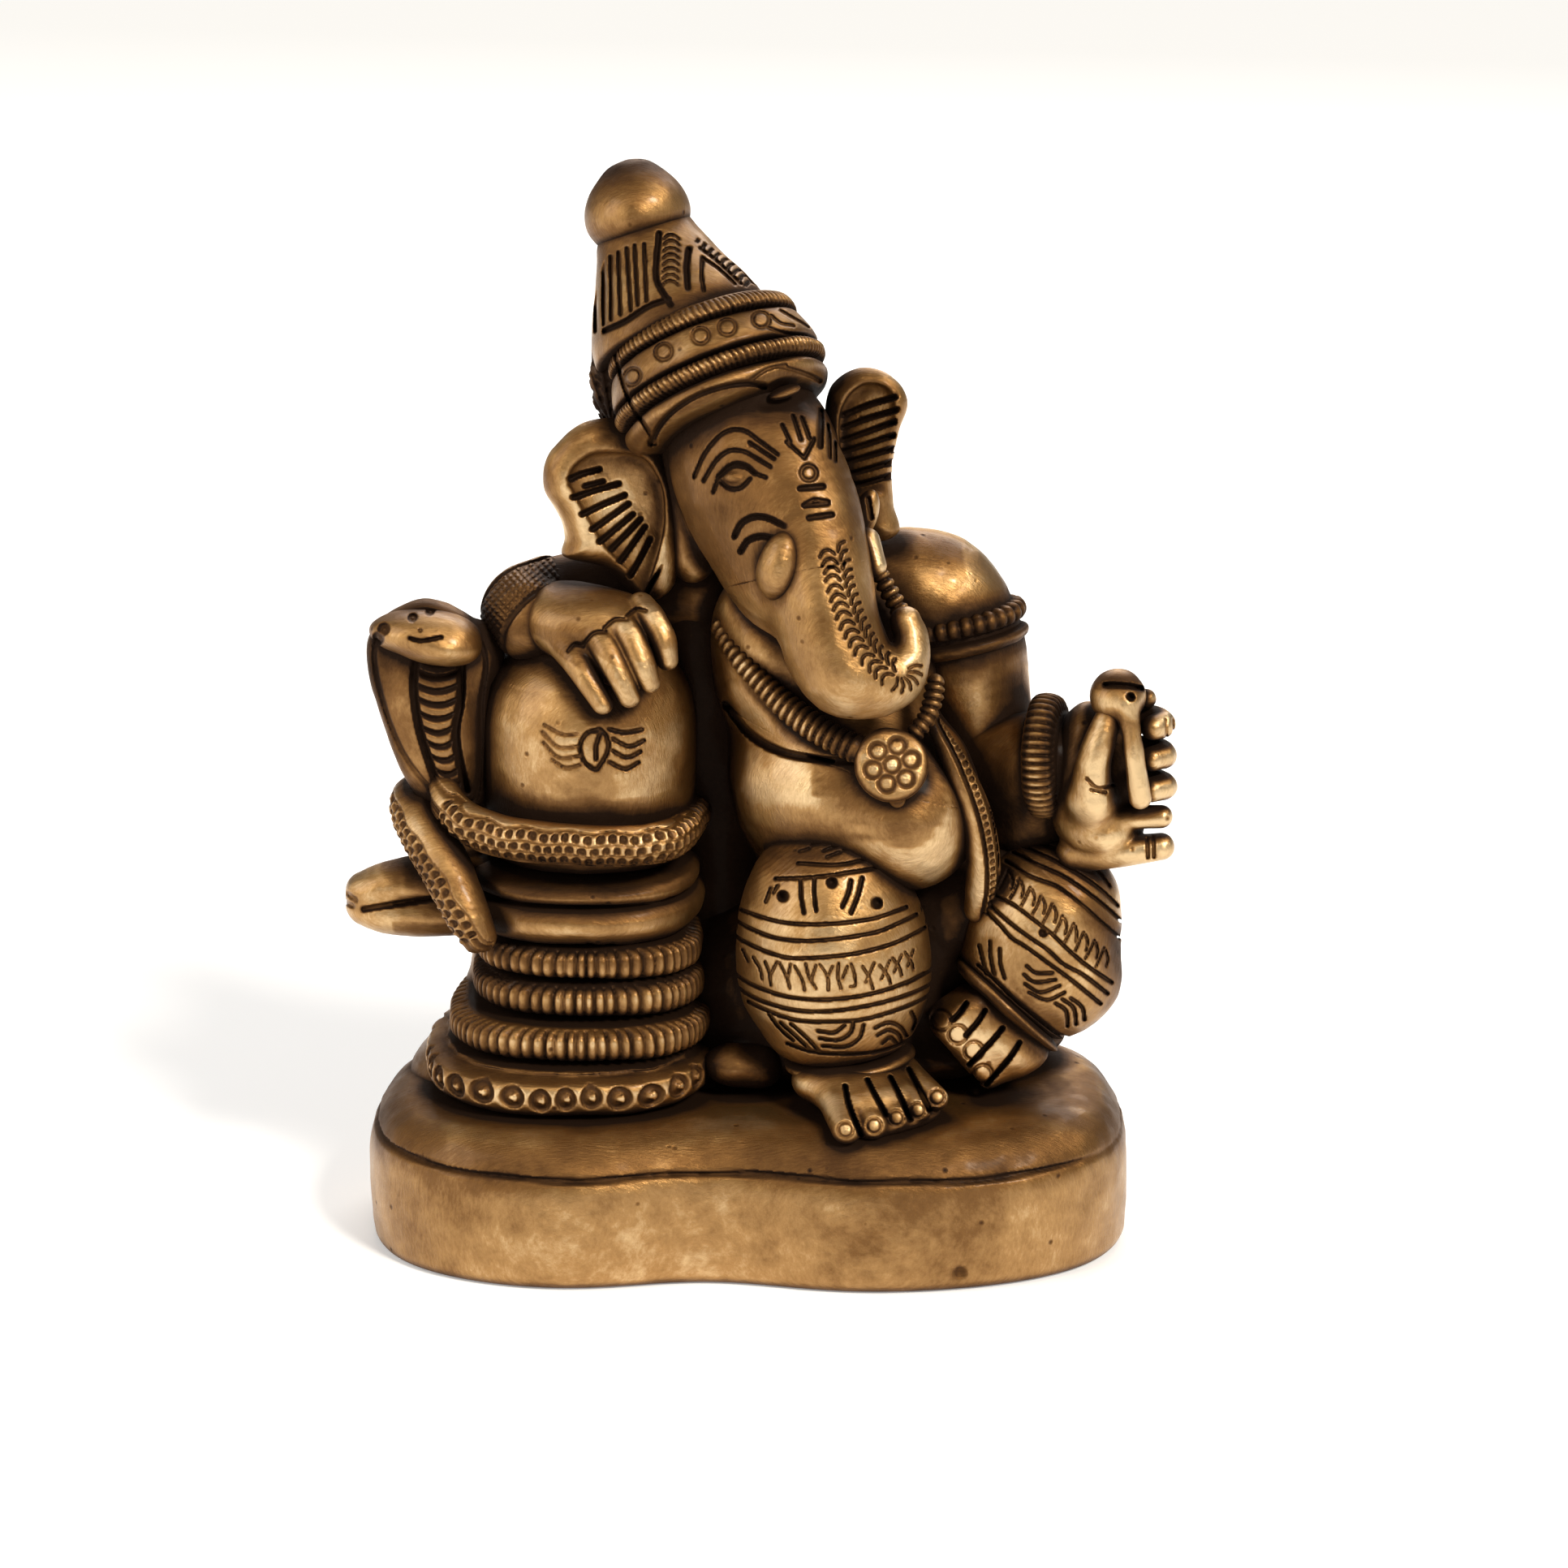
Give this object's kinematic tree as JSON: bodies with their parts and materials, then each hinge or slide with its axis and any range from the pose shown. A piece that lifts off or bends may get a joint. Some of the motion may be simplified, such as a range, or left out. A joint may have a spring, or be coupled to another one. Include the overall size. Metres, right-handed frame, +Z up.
{
  "type": "ganesha idol",
  "caption": "Cast brass seated elephant-headed idol leaning on a linga with a cobra coiled round it, on a two-lobed plinth with a flat underside.",
  "frame": {"origin": "the middle of the idol's bounding box, at the flat underside of the plinth that it stands on", "axes": "+X to the right as the idol faces the viewer, -Y the front that the trunk and belly face, +Z up"},
  "size_m": [0.0962, 0.0476, 0.1257],
  "materials": {
    "brass_polished": "satin aged brass, worn bright on the high places, with dark patina in the recesses",
    "brass_aged": "chased ornament in satin brass, its lines filled with dark brown patina"
  },
  "bodies": {
    "root": {"base_plinth": "brass_polished", "pedestal_mound": "brass_polished", "bead_ring": "brass_polished", "reeded_ring_lower": "brass_aged", "reeded_ring_middle": "brass_aged", "reeded_ring_upper": "brass_aged", "yoni_plate": "brass_polished", "linga_dome": "brass_polished", "yoni_spout": "brass_polished", "head": "brass_polished", "trunk": "brass_polished", "belly": "brass_polished", "torso": "brass_polished", "hips": "brass_aged", "leg_right": "brass_polished", "leg_left": "brass_polished", "hem_right": "brass_aged", "hem_left": "brass_aged", "foot_right": "brass_polished", "foot_left": "brass_polished", "upper_arm_left": "brass_polished", "forearm_left": "brass_aged", "upper_arm_right": "brass_polished", "hand_right": "brass_polished", "hand_left": "brass_polished", "held_sweet": "brass_polished", "bracelet_left": "brass_aged", "armband_left": "brass_aged", "bangle_right": "brass_aged", "ear_right": "brass_polished", "ear_left": "brass_polished", "earring_left": "brass_aged", "tusk_right": "brass_polished", "tusk_left": "brass_polished", "crown_rim": "brass_polished", "crown_rope_lower": "brass_aged", "crown_bead_band": "brass_polished", "crown_rope_upper": "brass_aged", "crown_cone": "brass_aged", "crown_knob": "brass_polished", "crown_jewel": "brass_polished", "crown_back_tassel": "brass_aged", "necklace": "brass_aged", "pendant": "brass_polished", "sacred_thread": "brass_aged", "cobra_coil": "brass_aged", "cobra_tail": "brass_aged", "cobra_hood": "brass_aged", "cobra_head": "brass_polished", "joining_web": "brass_aged", "offering": "brass_polished"}
  },
  "joints": []
}
